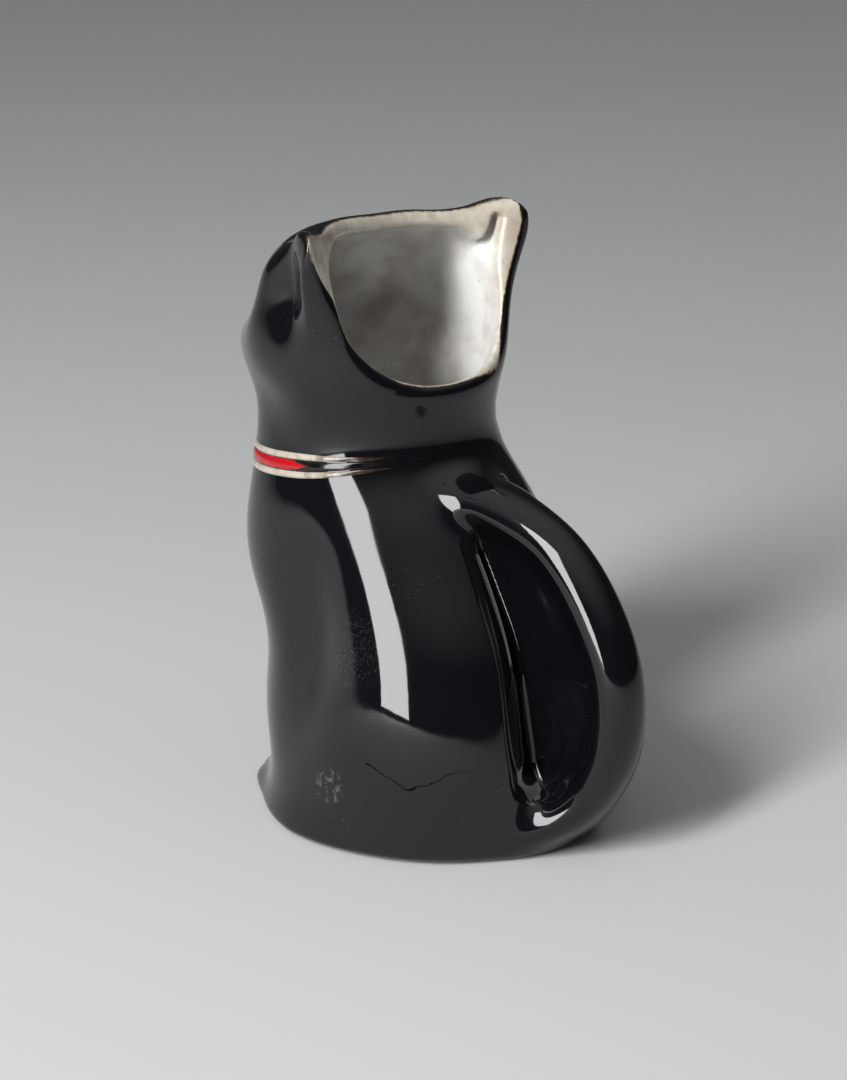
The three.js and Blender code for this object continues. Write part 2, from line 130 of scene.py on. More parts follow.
# angle from the nose, height, spread in degrees, spread in height, rise
SWELLINGS = {
    "haunch": (135, 24, 30, 26, 3.2),
    "flank_hollow": (86, 39, 19, 19, -4),
    "foreleg": (34, 26, 16, 24, 1.0),
    "forepaw": (30, 1.5, 18, 4.5, 3.8),
    "outer_toe": (94, 0, 20, 4.5, 0.9),
    "heel": (142, 0, 30, 5, -0.3),
    "knee": (100, 22, 18, 14, 1.5),
    "behind_shoulder": (98, 54, 16, 14, -1.2),
    "shin": (17, 22, 10, 24, 1.5),
    "between_forelegs": (0, 15, 6, 21, -7),
    "inner_toe_line": (19, 0, 2.2, 6, -0.9),
    "outer_toe_line": (32, 0, 2.2, 6, -0.9),
    "muzzle": (0, 91.3, 30, 7.6, 6.3),
    "cheek": (58, 96, 22, 8, 1.2),
    "eye_hollow": (34, 104, 13, 5, -1.4),
    "eye_socket": (21, 104, 10, 5, -1.8),
    "eyeball": (21, 103.5, 7, 3.2, 1.2),
    "muzzle_pad": (13, 88.5, 10, 5.5, 1.0),
    "nose": (0, 95, 5, 2.4, 1.6),
    "lip_line": (0, 88.5, 2.4, 4, -1.3),
    "chin": (0, 82.5, 12, 3.2, 2),
    "under_jaw": (62, 84, 22, 6, -1.2),
}
EAR_TURN, EAR_BLADE = 97.0, 3.0
EAR_HOLLOW_TURN, EAR_HOLLOW_UP, EAR_HOLLOW_DEEP = 79.0, 108, 3.8
BACK_HOLLOW_DEEP = 8


def ease(low, high, t):
    """0 below low, 1 above high, and a smooth step between."""
    u = np.clip((t - low) / (high - low), 0, 1)
    return u * u * (3 - 2 * u)


def bell(t, middle, spread):
    """1 at the middle, falling smoothly to 0 on both sides."""
    return np.exp(-(((t - middle) / spread) ** 2))


def spline_weights(t):
    """Six times the weights of four neighbours in a uniform cubic B-spline."""
    return (1 - t) ** 3, 3 * t**3 - 6 * t**2 + 4, -3 * t**3 + 3 * t**2 + 3 * t + 1, t**3


def station(column, z):
    """Smooth value of a column of stations at heights z."""
    rows = np.array([2 * column[0] - column[1], *column, 2 * column[-1] - column[-2]], np.float32)
    u = np.clip(z / STATION_STEP, 0, len(column) - 1 - 1e-4)
    i = u.astype(int)
    return sum(w * rows[i + k] for k, w in enumerate(spline_weights(u - i))) / 6


def both_sides(turn, angle, shape):
    """shape of the degrees away from an angle and from its mirror image; turn is 0 at the nose, 180 behind."""
    if angle == 0:
        return shape(turn)
    return shape(np.abs(turn - angle)) + shape(turn + angle) + shape(360 - turn - angle)


def crown_drop(x, z):
    """How far the top of the head lies below the ear tips: a flat crown, and a nick beside the left ear."""
    flat = 1.9 * bell(x, -16, 9) + 0.5 * bell(x, 0, 8)
    nick = 1.3 * bell(x, 22.5, 4)
    return (flat + nick) * ease(104, 120, z)


def form_radius(x, ahead, z, inside=False):
    """Radius of the cat's outline in the direction (x, ahead) from the section's centre, at height z."""
    turn = np.degrees(np.arctan2(np.abs(x), ahead))
    r = np.sqrt(x * x + ahead * ahead) + 1e-6
    reach = np.where(ahead >= 0, station(FRONT, z), station(BACK, z))
    if inside:
        side = station(HOLLOW_SIDE, z) + LEFT_HOLLOW_WIDER * (x > 0) * ease(90, 102, z)
    else:
        side = station(SIDE, z)
    radius = 1 / np.sqrt((ahead / r / reach) ** 2 + (x / r / side) ** 2)
    for angle, height, spread, tall, rise in SWELLINGS.values():
        swelling = both_sides(turn, angle, lambda d, s=spread: bell(d, 0, s))
        radius = radius + rise * bell(z, height, tall) * swelling
    if not inside:
        blade = both_sides(turn, EAR_TURN, lambda d: np.exp(-np.sqrt(d * d + 0.6) / 7))
        scooped = both_sides(turn, EAR_HOLLOW_TURN, lambda d: bell(d, 0, 12))
        radius = radius + EAR_BLADE * ease(95, 114, z) * blade
        radius = radius - EAR_HOLLOW_DEEP * bell(z, EAR_HOLLOW_UP, 9) * scooped
    down_the_back = ease(8, 17, z) * (1 - ease(56, 70, z))
    half = 14 - 5 * ease(20, 58, z) + (8 if inside else 0)
    return radius - BACK_HOLLOW_DEEP * down_the_back * np.exp(-(((180 - turn) / half) ** 2.6))


def slope_corrected(field):
    """The field divided by its own slope, so that its values are near true distances."""
    gx, gy, gz = np.gradient(field, VOXEL)
    return field / np.clip(np.sqrt(gx * gx + gy * gy + gz * gz), 0.35, 2)


def soft_min(a, b, k):
    """The smaller of two fields, with a fillet of size k where they meet."""
    h = np.maximum(k - np.abs(a - b), 0) / k
    return np.minimum(a, b) - h * h * k / 4


def soft_max(a, b, k):
    return -soft_min(-a, -b, k)


xs = np.arange(-37.8, 37.81, VOXEL, np.float32)
ys = np.arange(-56, 56.01, VOXEL, np.float32)
zs = np.arange(-3.5, 124.01, VOXEL, np.float32)
X, Y, Z = xs[:, None, None], ys[None, :, None], zs[None, None, :]
lifted = Z + crown_drop(X, Z)
ahead = -(Y - FORWARD_OF_ORIGIN) - station(CENTRE, lifted)
reach_here = np.sqrt(X * X + ahead * ahead)
skin = slope_corrected(reach_here - form_radius(X, ahead, lifted))
top_rounding = 6 - 4.8 * ease(20, 27, np.abs(X))  # a soft crown and thin ear tips
skin = soft_max(skin, lifted - HEIGHT, top_rounding)
skin = soft_max(skin, -Z, FOOT_ROUNDING)

# Tail: a bar along its centre line, and the thin dished web inside its loop.
TAIL_BEHIND = np.array([0, 10, 20, 32, 41, 47, 46.8, 40.8, 32.5, 22], float)
TAIL_UP = np.array([64.8, 66, 64.6, 59.9, 50.6, 38, 24, 12.6, 5.6, 5.4], float)
TAIL_STEPS = 400
TAIL_HALF_WIDE, ROOT_WIDER, TIP_WIDER = 5.5, 3.3, 8.5
TAIL_OFF_TABLE = 0.6
TAIL_FILLET, WEB_FILLET = 5, 3
WEB_HALF, WEB_THINNEST = 2.2, 9  # half its least thickness, and how far in from the tail that is


def through_points(values, steps):
    """Catmull-Rom samples through evenly numbered points."""
    v = np.concatenate([[2 * values[0] - values[1]], values, [2 * values[-1] - values[-2]]])
    u = np.linspace(0, len(values) - 1 - 1e-6, steps)
    i = u.astype(int)
    t = u - i
    a, b, c, d = v[i], v[i + 1], v[i + 2], v[i + 3]
    return 0.5 * (2 * b + (c - a) * t + (2 * a - 5 * b + 4 * c - d) * t**2 + (3 * b - a - 3 * c + d) * t**3)


tail_y = through_points(TAIL_BEHIND, TAIL_STEPS) + FORWARD_OF_ORIGIN
tail_z = through_points(TAIL_UP, TAIL_STEPS)
run = np.concatenate([[0], np.cumsum(np.hypot(np.diff(tail_y), np.diff(tail_z)))])
run /= run[-1]
gap_y = ys[:, None, None] - tail_y
gap_z = zs[None, :, None] - tail_z
nearest = np.argmin(gap_y**2 + gap_z**2, axis=2)
step_y, step_z = np.gradient(tail_y)[nearest], np.gradient(tail_z)[nearest]
off_y = ys[:, None] - tail_y[nearest]
off_z = zs[None, :] - tail_z[nearest]
part_step = np.clip((off_y * step_y + off_z * step_z) / (step_y**2 + step_z**2), -0.5, 0.5)
along = run[nearest] + part_step * np.gradient(run)[nearest]
off_y, off_z = off_y - part_step * step_y, off_z - part_step * step_z
past_tail = np.hypot(off_y, off_z) * np.sign(off_z * step_y - off_y * step_z)  # positive outside the loop
width = TAIL_HALF_WIDE + ROOT_WIDER * (1 - ease(0, 0.3, along)) + TIP_WIDER * ease(0.76, 0.96, along)
# The section is a D: a dome outwards that meets its widest line in an edge, and a shallow inner side.
outward = past_tail - 0.3
domed = outward > 0
half_deep = np.where(domed, 3.9, 4.5) + np.where(domed, 0.6, 0.4) * ease(0.3, 0.5, along)
sideways, inward = np.abs(X) / width[None], (np.abs(outward) / half_deep)[None]
square = np.where(domed[None], 2.1, 1.8)
across = (sideways**square + inward**square) ** (1 / square) + 1e-6
steepness = np.hypot(
    (sideways / across) ** (square - 1) / width[None], (inward / across) ** (square - 1) / half_deep[None]
)
tail_bar = ((across - 1) / np.maximum(steepness, 0.05)).astype(np.float32)
inset = -past_tail
thicker_at_tail = 0.012 * np.clip(WEB_THINNEST - inset, 0, 9) ** 2
thicker_at_back = 0.006 * np.clip(inset - WEB_THINNEST, 0, 12) ** 2
web_half = WEB_HALF + thicker_at_tail + thicker_at_back
tail_web = np.maximum(np.abs(X) - web_half[None], np.maximum(past_tail[None], 2 - Y)).astype(np.float32)
tail_bar = soft_max(tail_bar, TAIL_OFF_TABLE - Z, 2)
handle = soft_min(tail_bar, tail_web, 1.4)
outer = soft_max(soft_min(soft_min(skin, tail_bar, TAIL_FILLET), tail_web, WEB_FILLET), -Z, 1.2)

# Hollow inside, floor, foot recess and the scooped mouth.
WALL, LEAST_WALL, BOTTOM = 3.0, 2.2, 4.5
FOOT_RING, FOOT_RECESS = 7.6, 1.2
SCOOP_FORWARD = np.array([-20, -9.5, -4, 1, 6.5, 12, 16.5], float)
SCOOP_UP = np.array([80, 86, 88.8, 94, 102, 112, 122], float)
SCOOP_STEPS = 200
SCOOP_FOOT = 78
core = slope_corrected(reach_here - form_radius(X, ahead, lifted, inside=True))
core = soft_max(core, lifted - HEIGHT, 8)
cavity = soft_max(core + WALL, BOTTOM - Z, 8)
cavity = soft_max(cavity, outer + LEAST_WALL, 1.5)
scoop_line = np.interp(zs, through_points(SCOOP_UP, SCOOP_STEPS), through_points(SCOOP_FORWARD, SCOOP_STEPS))
sweep = 8.5 * ease(86, 112, Z) * (X / 30) ** 2 + 2.8 * ease(108, 120, Z) * (X / 30) ** 4
scoop = slope_corrected((scoop_line[None, None, :] - sweep + (Y - FORWARD_OF_ORIGIN)).astype(np.float32))
scoop = np.where(Z < SCOOP_FOOT, -20, scoop).astype(np.float32)
recess = np.maximum(Z - FOOT_RECESS, skin + FOOT_RING)
rim_rounding = 3.2 - 1.8 * ease(97, 106, Z) * (1 - ease(14, 22, -X))
clay = soft_max(outer, -cavity, 1.6)
clay = soft_max(clay, scoop, rim_rounding)
clay = soft_max(clay, -recess, 0.8)

# A narrow slot where the slip drained out of the right ear, seen in its cut face.
SLOT_LOW, SLOT_HIGH = np.array([-17.6, 100.5]), np.array([-24.4, 115.5])
SLOT_DEEP = 5
slot_run = SLOT_HIGH - SLOT_LOW
up_slot = np.clip(((X - SLOT_LOW[0]) * slot_run[0] + (Z - SLOT_LOW[1]) * slot_run[1]) / (slot_run**2).sum(), 0, 1)
slot_half = 1.5 - 0.7 * up_slot
slot = np.hypot(X - SLOT_LOW[0] - up_slot * slot_run[0], Z - SLOT_LOW[1] - up_slot * slot_run[1]) - slot_half
slot = soft_max(slot, -scoop - SLOT_DEEP, 3)
clay = soft_max(clay, -slot, 1.2).astype(np.float32)

# The joint at the neck is a plane tipped down at the throat; the tail begins outside the body's own skin.
COLLAR_UP = 72.4
COLLAR_TILT = math.tan(math.radians(6.5))
NECK_FORWARD = 15
BODY, HEAD, TAIL = 1, 2, 3
above_joint = Z - COLLAR_UP + COLLAR_TILT * (-(Y - FORWARD_OF_ORIGIN) - NECK_FORWARD)
label = np.where(above_joint > 0, HEAD, np.where((skin > np.maximum(handle, 0)) & (Y > 0), TAIL, BODY))
label = np.where(clay < 0, np.broadcast_to(label, clay.shape), 0).astype(np.int8)

# Skin of the castings: a quad between each two neighbours in the grid that aren't the same piece.
shape = np.array(clay.shape)
corner = np.array([xs[0], ys[0], zs[0]], np.float32)
quads = []
for axis in range(3):
    b, c = (axis + 1) % 3, (axis + 2) % 3
    here = np.moveaxis(label, (axis, b, c), (0, 1, 2))
    low, high = here[:-1, 1:-1, 1:-1], here[1:, 1:-1, 1:-1]
    at = np.argwhere(low != high)
    pair = np.stack([low[tuple(at.T)], high[tuple(at.T)]], 1)
    cells = []
    for db, dc in ((0, 0), (1, 0), (1, 1), (0, 1)):
        cell = np.empty((len(at), 3), np.int64)
        cell[:, axis], cell[:, b], cell[:, c] = at[:, 0], at[:, 1] + db, at[:, 2] + dc
        cells.append((cell[:, 0] * shape[1] + cell[:, 1]) * shape[2] + cell[:, 2])
    quads.append((np.stack(cells, 1), pair))
faces = np.concatenate([q for q, _ in quads])
sides = np.concatenate([p for _, p in quads])
used, faces = np.unique(faces, return_inverse=True)
faces = faces.reshape(-1, 4)
points = np.stack(np.unravel_index(used, shape), 1).astype(np.float32) * VOXEL + corner + VOXEL / 2


def sample(grid, p):
    """Values of a grid at points, by linear steps between its corners."""
    g = np.clip((p - corner) / VOXEL, 0, shape - 1.001)
    i = g.astype(int)
    t = (g - i).astype(np.float32)
    total = 0
    for dx in (0, 1):
        for dy in (0, 1):
            for dz in (0, 1):
                w = np.abs(1 - dx - t[:, 0]) * np.abs(1 - dy - t[:, 1]) * np.abs(1 - dz - t[:, 2])
                total = total + w * grid[i[:, 0] + dx, i[:, 1] + dy, i[:, 2] + dz]
    return total


def smooth_sample(grid, p):
    """Value and slope of a grid at points, by cubic B-splines, for a skin without ripples."""
    g = np.clip((p - corner) / VOXEL, 1, shape - 2.001)
    i = g.astype(int)
    t = (g - i).astype(np.float32)
    w = np.stack(spline_weights(t)) / 6
    d = np.stack([-((1 - t) ** 2), 3 * t**2 - 4 * t, -3 * t**2 + 2 * t + 1, t**2]) / (2 * VOXEL)
    value, slope = 0, np.zeros_like(p)
    for a in range(4):
        for b in range(4):
            for c in range(4):
                v = grid[i[:, 0] + a - 1, i[:, 1] + b - 1, i[:, 2] + c - 1]
                value = value + v * w[a, :, 0] * w[b, :, 1] * w[c, :, 2]
                slope[:, 0] += v * d[a, :, 0] * w[b, :, 1] * w[c, :, 2]
                slope[:, 1] += v * w[a, :, 0] * d[b, :, 1] * w[c, :, 2]
                slope[:, 2] += v * w[a, :, 0] * w[b, :, 1] * d[c, :, 2]
    return value, slope


# The points are evened out over the mesh, and those in the open air are drawn back to the clay's face.
LEAST_SLOPE = 0.05
slopes = [g.astype(np.float32) for g in np.gradient(clay, VOXEL)]
open_air = np.zeros(len(points), bool)
open_air[faces[(sides == 0).any(1)].ravel()] = True
edges = np.concatenate([faces[:, [k, (k + 1) % 4]] for k in range(4)])
edges = np.concatenate([edges, edges[:, ::-1]])
count = np.bincount(edges[:, 0], minlength=len(points))[:, None]
for _ in range(10):
    smooth = np.stack([np.bincount(edges[:, 0], points[edges[:, 1], k], len(points)) for k in range(3)], 1)
    points = points + 0.6 * (smooth / count - points)
    for _ in range(2):
        value = sample(clay, points)[open_air, None]
        slope = np.stack([sample(g, points)[open_air] for g in slopes], 1)
        points[open_air] -= value * slope / np.maximum((slope**2).sum(1, keepdims=True), LEAST_SLOPE)
for _ in range(2):
    value, normals = smooth_sample(clay, points)
    shift = value[:, None] * normals / np.maximum((normals**2).sum(1, keepdims=True), LEAST_SLOPE)
    points[open_air] -= shift[open_air]
_, normals = smooth_sample(clay, points)
normals /= np.linalg.norm(normals, axis=1, keepdims=True) + 1e-9

# The black glaze stops just over the cut on the crown, and laps further over the near rim, the near ear and
# the far ear's side. The foot ring was wiped bare before firing.
CROWN_LAP, RIM_LAP, NEAR_EAR_LAP, FAR_SIDE_LAP = 0.45, 1.15, 1.2, 1.9
buried = np.maximum(-sample(outer, points), 0)
_, outer_slope = smooth_sample(outer, points)
facing_up = outer_slope[:, 2] / (np.linalg.norm(outer_slope, axis=1) + 1e-6)
near_rim = (1 - ease(105, 113, points[:, 2])) * ease(-16, -2, points[:, 0])
far_side = ease(13, 20, -points[:, 0]) * (1 - ease(0.35, 0.75, facing_up))
near_ear = ease(12, 19, points[:, 0]) * (1 - ease(110, 116, points[:, 2]))
cut_face = ease(-2.5, -0.6, sample(scoop, points))
further = RIM_LAP * near_rim + NEAR_EAR_LAP * near_ear + FAR_SIDE_LAP * far_side
past_glaze = buried - CROWN_LAP - further * cut_face
past_glaze = np.maximum(past_glaze, 0.6 - 1.5 * points[:, 2])


def casting(name, part):
    """Mesh of one casting, with the depth past the glaze's edge and the cut face kept on its points."""
    mine = (sides == part).any(1)
    f = np.where((sides[mine, 0] == part)[:, None], faces[mine], faces[mine][:, ::-1])
    kept, f = np.unique(f, return_inverse=True)
    mesh = bpy.data.meshes.new(name)
    mesh.from_pydata((points[kept] * MM).tolist(), [], f.reshape(-1, 4).tolist())
    mesh.polygons.foreach_set("use_smooth", [True] * len(mesh.polygons))
    for title, values in (("past_glaze_mm", past_glaze), ("cut_face", cut_face)):
        mesh.attributes.new(title, "FLOAT", "POINT").data.foreach_set("value", values[kept].astype(np.float32))
    mesh.normals_split_custom_set_from_vertices(normals[kept].tolist())
    piece = bpy.data.objects.new(name, mesh)
    scene.collection.objects.link(piece)
    return piece


def add_node(tree, kind, inputs=(), **settings):
    """A shader node with its settings, its inputs given as values or as the sockets that feed them."""
    made = tree.nodes.new(kind)
    for key, value in settings.items():
        setattr(made, key, value)
    for socket, value in dict(inputs).items():
        if isinstance(value, bpy.types.NodeSocket):
            tree.links.new(value, made.inputs[socket])
        else:
            made.inputs[socket].default_value = value
    return made


def blended(tree, factor, first, second):
    """The colour between two colours or colour sockets."""
    return add_node(tree, "ShaderNodeMix", {0: factor, 6: first, 7: second}, data_type="RGBA").outputs[2]


def mapped(tree, value, low, high, to_low=0.0, to_high=1.0):
    """The value, taken from one range to another and kept inside it."""
    made = {"Value": value, "From Min": low, "From Max": high, "To Min": to_low, "To Max": to_high}
    return add_node(tree, "ShaderNodeMapRange", made).outputs["Result"]


def worked(tree, operation, *values):
    """The result of a sum on numbers or sockets."""
    return add_node(tree, "ShaderNodeMath", dict(enumerate(values)), operation=operation).outputs[0]


BLACK = (0.003, 0.003, 0.004, 1)
BROWN = (0.045, 0.027, 0.015, 1)
TAN = (0.22, 0.165, 0.11, 1)
CREAM = (0.56, 0.525, 0.44, 1)
WHITE_INSIDE = (0.74, 0.735, 0.71, 1)
GRIME = (0.3, 0.26, 0.2, 1)
TEA_STAIN = (0.34, 0.27, 0.215, 1)
KILN_SPECK = (0.2, 0.14, 0.08, 1)
WORN_GREY = (0.1, 0.1, 0.105, 1)

black_glaze = bpy.data.materials.new("black_glaze")
black_glaze.use_nodes = True
tree = black_glaze.node_tree
glaze = tree.nodes["Principled BSDF"]
place = add_node(tree, "ShaderNodeTexCoord").outputs["Object"]
past = add_node(tree, "ShaderNodeAttribute", attribute_name="past_glaze_mm").outputs["Fac"]


def grain(scale, detail=2.0, where=None):
    """Cloudy noise; scale is in features per metre."""
    made = {"Vector": where or place, "Scale": scale, "Detail": detail}
    return add_node(tree, "ShaderNodeTexNoise", made).outputs["Fac"]


def in_mm(metres):
    return worked(tree, "MULTIPLY", metres, 1000)


ragged = worked(tree, "ADD", past, mapped(tree, grain(1100, 2), 0.3, 0.7, -0.1, 0.1))
edge = add_node(tree, "ShaderNodeValToRGB", {"Fac": mapped(tree, ragged, -0.6, 0.6)})
stops = edge.color_ramp.elements
stops[0].position, stops[0].color = 0.25, BLACK
stops[1].position, stops[1].color = 0.72, CREAM
for position, colour in ((0.42, BROWN), (0.52, TAN)):
    stop = stops.new(position)
    stop.color = colour
inside = mapped(tree, ragged, 0.0, 0.15)
outside_coat = mapped(tree, ragged, -0.15, 0.0, 1, 0)

# Inside: white glaze with brown clouds and a few kiln specks, and grime on the bare cut face.
clouds = mapped(tree, grain(110, 5), 0.4, 0.7, 0, 0.7)
cut = add_node(tree, "ShaderNodeAttribute", attribute_name="cut_face").outputs["Fac"]
grime = worked(tree, "MULTIPLY", mapped(tree, grain(380, 5), 0.42, 0.68, 0, 0.55), cut)
glazed_inside = worked(tree, "SUBTRACT", inside, cut)
specks = mapped(tree, grain(1500, 1), 0.75, 0.8, 0, 0.4)
coat = blended(tree, glazed_inside, edge.outputs["Color"], WHITE_INSIDE)
for stain, colour in ((grime, GRIME), (clouds, TEA_STAIN), (specks, KILN_SPECK)):
    coat = blended(tree, worked(tree, "MULTIPLY", stain, inside), coat, colour)

# Outside: dust specks and fine scratches in worn patches.
worn_patch = mapped(tree, grain(55, 2), 0.5, 0.68)
dust = mapped(tree, grain(2600, 1), 0.7, 0.76, 0, 0.5)
drawn_out = {"Vector": place, "Rotation": (0.3, 0.5, 0.2), "Scale": (60, 60, 4200)}
drawn_out = add_node(tree, "ShaderNodeMapping", drawn_out).outputs["Vector"]
scratch = mapped(tree, grain(1.0, 2, drawn_out), 0.7, 0.76, 0, 0.35)
wear = worked(tree, "MULTIPLY", worked(tree, "ADD", dust, scratch), worn_patch)

# A pale scuff low on the left haunch, a dusty patch in the hollow of the flank, and a hairline crack behind them.
SCUFF_PLACE, DUSTY_PLACE = (34, 2.5, 13.7), (29.7, 3.1, 39.5)
CRACK_BACK, CRACK_LOW, CRACK_HIGH, CRACK_SLOPE = 19.3, 15.5, 16.9, 0.52
spot = add_node(tree, "ShaderNodeSeparateXYZ", {"Vector": place}).outputs
height = in_mm(spot["Z"])


def from_mark(mark):
    """Distance in mm of the glaze from a mark on the body."""
    ends = {0: place, 1: tuple(c * MM for c in mark)}
    return in_mm(add_node(tree, "ShaderNodeVectorMath", ends, operation="DISTANCE").outputs["Value"])


scuff = mapped(tree, from_mark(SCUFF_PLACE), 4.4, 2.6)
scuff = worked(tree, "MULTIPLY", scuff, mapped(tree, grain(620, 4), 0.5, 0.62, 0, 0.6))
dusty = mapped(tree, from_mark(DUSTY_PLACE), 10, 2)
dusty = worked(tree, "MULTIPLY", dusty, mapped(tree, grain(1700, 5), 0.5, 0.75, 0, 0.3))
wear = worked(tree, "ADD", wear, worked(tree, "ADD", scuff, dusty))
wear = worked(tree, "MULTIPLY", wear, outside_coat)
behind = worked(tree, "SUBTRACT", in_mm(spot["Y"]), CRACK_BACK)
dip = worked(tree, "SMOOTH_MAX", behind, worked(tree, "MULTIPLY", behind, -1), 1.5)
wander = mapped(tree, grain(260, 2), 0.3, 0.7, CRACK_LOW, CRACK_HIGH)
crack_height = worked(tree, "ADD", worked(tree, "MULTIPLY", dip, CRACK_SLOPE), wander)
crack_gap = worked(tree, "ABSOLUTE", worked(tree, "SUBTRACT", height, crack_height))
crack = mapped(tree, crack_gap, 0.2, 0.1)
front_end, back_end = mapped(tree, behind, -8.5, -7.5), mapped(tree, behind, 10, 4)
left_only = mapped(tree, spot["X"], 0.01, 0.012)
for limit in (front_end, back_end, left_only):
    crack = worked(tree, "MULTIPLY", crack, limit)
coat = blended(tree, wear, coat, WORN_GREY)

smudge = mapped(tree, grain(42, 5), 0.35, 0.7, 0.035, 0.1)
gloss = add_node(tree, "ShaderNodeMix", {0: inside, 2: smudge, 3: 0.22}, data_type="FLOAT").outputs[0]
dulled = worked(tree, "ADD", gloss, mapped(tree, wear, 0, 1, 0, 0.3))
tree.links.new(dulled, glaze.inputs["Roughness"])
peel = add_node(tree, "ShaderNodeBump", {"Height": grain(210, 1), "Strength": 0.6, "Distance": 0.00003})
tree.links.new(peel.outputs["Normal"], glaze.inputs["Normal"])
tree.links.new(crack, glaze.inputs["Metallic"])  # black metal has no shine, so the crack is a dark line
glaze.inputs["IOR"].default_value = 1.53

# Painted face: eyes, nose, mouth and whisker spots brushed on the glaze in the collar's cream and red.
# The cat looks away in the photograph, so this is a plain face. Sizes are mm from the face's middle and mm up.
EYE_PLACE, EYE_LONG, EYE_HIGH, EYE_LEAN = (10.6, 103.6), 4.7, 2.7, math.radians(15)
EYE_RIM = 0.5
PUPIL = (0.85, 2.2)
NOSE_TOP, NOSE_TIP, NOSE_SLOPE, NOSE_ROUNDING = 96.6, 92.9, 0.8, 1.2
MOUTH_PLACE, MOUTH_ROUND = (3.0, 90.3), 3.0
LIP_LINE, LIP_LINE_HALF = 91.5, 1.4
WHISKER_SPOTS = ((5.0, 91.9), (6.4, 90.9), (5.4, 89.8))
SPOT_ROUND = 0.4
BRUSH_HALF = 0.24
AMBER = (0.42, 0.27, 0.02, 1)
ROSE = (0.34, 0.03, 0.03, 1)
beside = in_mm(worked(tree, "ABSOLUTE", spot["X"]))
on_face = add_node(tree, "ShaderNodeCombineXYZ", {"X": beside, "Z": height}).outputs[0]
face_side = worked(tree, "MULTIPLY", mapped(tree, spot["Y"], -0.0295, -0.0305), outside_coat)


def away_from(x, z, stretch=(1, 1)):
    """Distance of the painted spot from a point on the face, in units of stretch."""
    scale = {0: on_face, 1: (1 / stretch[0], 0, 1 / stretch[1])}
    scaled = add_node(tree, "ShaderNodeVectorMath", scale, operation="MULTIPLY").outputs[0]
    ends = {0: scaled, 1: (x / stretch[0], 0, z / stretch[1])}
    return add_node(tree, "ShaderNodeVectorMath", ends, operation="DISTANCE").outputs["Value"]


def off_line(value, middle, half):
    """How far a value lies outside a band about its middle."""
    gap = worked(tree, "ABSOLUTE", worked(tree, "SUBTRACT", value, middle))
    return worked(tree, "SUBTRACT", gap, half)


def brushed(under, outside_by, paint):
    """The coat with paint where outside_by is below 0, on the face only."""
    mask = worked(tree, "MULTIPLY", mapped(tree, outside_by, 0.08, -0.08), face_side)
    return blended(tree, mask, under, paint)


lid = (EYE_LONG**2 + EYE_HIGH**2) / (2 * EYE_HIGH)
lid_off = Vector((-math.sin(EYE_LEAN), math.cos(EYE_LEAN))) * (lid - EYE_HIGH)
lids = [away_from(EYE_PLACE[0] + way * lid_off.x, EYE_PLACE[1] + way * lid_off.y) for way in (1, -1)]
eye = worked(tree, "SUBTRACT", worked(tree, "MAXIMUM", *lids), lid)
pupil = worked(tree, "SUBTRACT", away_from(*EYE_PLACE, PUPIL), 1)
nose_half = worked(tree, "MULTIPLY", worked(tree, "SUBTRACT", height, NOSE_TIP), NOSE_SLOPE)
nose_side = worked(tree, "SUBTRACT", beside, nose_half)
nose = worked(tree, "SMOOTH_MAX", nose_side, worked(tree, "SUBTRACT", height, NOSE_TOP), NOSE_ROUNDING)
mouth = off_line(away_from(*MOUTH_PLACE), MOUTH_ROUND, BRUSH_HALF)
mouth = worked(tree, "MAXIMUM", mouth, worked(tree, "SUBTRACT", height, MOUTH_PLACE[1]))
lip_line = worked(tree, "SUBTRACT", beside, BRUSH_HALF)
lip_line = worked(tree, "MAXIMUM", lip_line, off_line(height, LIP_LINE, LIP_LINE_HALF))
whiskers = [worked(tree, "SUBTRACT", away_from(*whisker), SPOT_ROUND) for whisker in WHISKER_SPOTS]
for stroke in (mouth, lip_line, *whiskers):
    coat = brushed(coat, stroke, CREAM)
coat = brushed(coat, nose, ROSE)
coat = brushed(coat, eye, CREAM)
coat = brushed(coat, worked(tree, "ADD", eye, EYE_RIM), AMBER)
coat = brushed(coat, pupil, BLACK)
tree.links.new(coat, glaze.inputs["Base Color"])

CASTINGS = (("glazed_body", BODY, "body"), ("glazed_head", HEAD, "head"), ("glazed_tail", TAIL, "tail_handle"))
for name, part, node in CASTINGS:
    piece = casting(name, part)
    piece.data.materials.append(black_glaze)
    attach(piece, "root")
    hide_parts(node)

# Collar: a red band between two cream lines, painted on a low ridge round the neck.
# The paint is worn: the red ends in a point below the left ear, and the cream thins to brown and is gone behind.
COLLAR_LINES = {"collar_lower_line": (-2.5, -1.1), "collar_band": (-1.1, 1.1), "collar_upper_line": (1.1, 2.5)}
COLLAR_RISE = 0.35
PAINT_SUNK, BACK_SUNK = 0.05, 0.5  # how far the paint's edges and its back lie under the glaze
RINGS_ACROSS = 7
around_neck = np.linspace(0, 2 * math.pi, 300, endpoint=False)
neck_y = FORWARD_OF_ORIGIN - float(station(CENTRE, np.array(COLLAR_UP)))
turned = np.degrees(np.minimum(around_neck, 2 * math.pi - around_neck))
narrowed = 1 - 0.45 * ease(85, 140, turned)
flattened = COLLAR_RISE * (1 - 0.85 * ease(92, 135, turned))


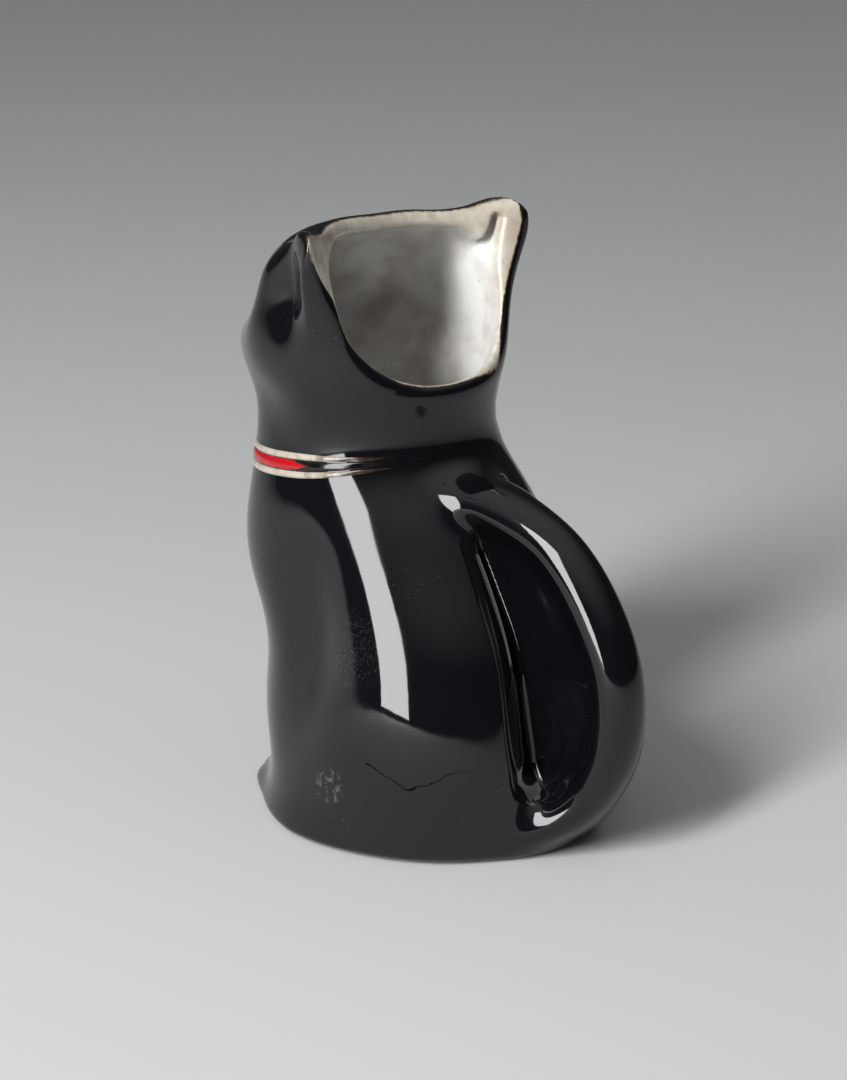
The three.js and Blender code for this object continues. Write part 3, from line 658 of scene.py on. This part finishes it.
def neck_surface(up):
    """Points on the glaze round the neck, up mm above the middle of the collar."""
    reach = np.arange(12, 40, 0.3, np.float32)[None, :]
    x = np.sin(around_neck)[:, None] * reach
    y = neck_y - np.cos(around_neck)[:, None] * reach
    z = COLLAR_UP - COLLAR_TILT * (-(y - FORWARD_OF_ORIGIN) - NECK_FORWARD) + up[:, None]
    value = sample(outer, np.stack([x, y, z], 2).reshape(-1, 3)).reshape(x.shape)
    ring, first_out = np.arange(len(around_neck)), np.argmax(value > 0, axis=1)
    within, beyond = value[ring, first_out - 1], value[ring, first_out]
    part = within / (within - beyond)
    lines = [(1 - part) * c[ring, first_out - 1] + part * c[ring, first_out] for c in (x, y, z)]
    return np.stack(lines, 1)


def painted_line(name, low, high):
    """A closed strip round the neck: rings across its domed face, and two behind it in the clay."""
    places = [*np.linspace(-1, 1, RINGS_ACROSS), 1, -1]
    rings = []
    for number, a in enumerate(places):
        on_glaze = neck_surface((low + (high - low) * (a + 1) / 2) * narrowed)
        _, out = smooth_sample(outer, on_glaze)
        out /= np.linalg.norm(out, axis=1, keepdims=True)
        domed_face = flattened * (1 - abs(a) ** 3) - PAINT_SUNK
        rise = domed_face if number < RINGS_ACROSS else np.full_like(flattened, -BACK_SUNK)
        rings.append(on_glaze + out * rise[:, None])
    count_round, count_across = len(around_neck), len(rings)
    i, j = np.meshgrid(np.arange(count_round), np.arange(count_across), indexing="ij")
    i_next, j_next = (i + 1) % count_round, (j + 1) % count_across
    corners = ((i, j), (i_next, j), (i_next, j_next), (i, j_next))
    quads = np.stack([b * count_round + a for a, b in corners], 2)
    mesh = bpy.data.meshes.new(name)
    mesh.from_pydata((np.concatenate(rings) * MM).tolist(), [], quads.reshape(-1, 4).tolist())
    mesh.polygons.foreach_set("use_smooth", [True] * len(mesh.polygons))
    kept = {"turn_deg": np.tile(turned, count_across), "across": np.repeat(places, count_round)}
    for title, values in kept.items():
        mesh.attributes.new(title, "FLOAT", "POINT").data.foreach_set("value", values.astype(np.float32))
    piece = bpy.data.objects.new(name, mesh)
    scene.collection.objects.link(piece)
    return piece


def line_paint(name, colour, ends, pointed, spread):
    """Gloss paint that gives way to brown and then to the black glaze between two turns from the nose."""
    paint = bpy.data.materials.new(name)
    paint.use_nodes = True
    tree = paint.node_tree
    shader = tree.nodes["Principled BSDF"]
    place = add_node(tree, "ShaderNodeTexCoord").outputs["Object"]
    turn = add_node(tree, "ShaderNodeAttribute", attribute_name="turn_deg").outputs["Fac"]
    side = add_node(tree, "ShaderNodeAttribute", attribute_name="across").outputs["Fac"]
    streak = add_node(tree, "ShaderNodeTexNoise", {"Vector": place, "Scale": 420, "Detail": 4}).outputs["Fac"]
    from_middle = worked(tree, "ABSOLUTE", worked(tree, "MULTIPLY", side, pointed))
    uneven = mapped(tree, streak, 0.3, 0.7, -spread, spread)
    worn = worked(tree, "ADD", worked(tree, "ADD", turn, from_middle), uneven)
    fade = add_node(tree, "ShaderNodeValToRGB", {"Fac": mapped(tree, worn, *ends)})
    stops = fade.color_ramp.elements
    stops[0].position, stops[0].color = 0.0, colour
    stops[1].position, stops[1].color = 1.0, BLACK
    stop = stops.new(0.55)
    stop.color = BROWN
    thin = mapped(tree, streak, 0.45, 0.75, 0, 0.35)
    tree.links.new(blended(tree, thin, fade.outputs["Color"], BROWN), shader.inputs["Base Color"])
    tree.links.new(mapped(tree, streak, 0.3, 0.7, 0.08, 0.2), shader.inputs["Roughness"])
    return paint


red_enamel = line_paint("red_enamel", (0.4, 0.004, 0.01, 1), (93, 99), 12.0, 3.0)
cream_slip = line_paint("cream_slip", (0.43, 0.385, 0.32, 1), (98, 136), 0.0, 9.0)
for node, (low, high) in COLLAR_LINES.items():
    piece = painted_line("painted_" + node, low, high)
    piece.data.materials.append(red_enamel if node == "collar_band" else cream_slip)
    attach(piece, "root")
    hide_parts(node)
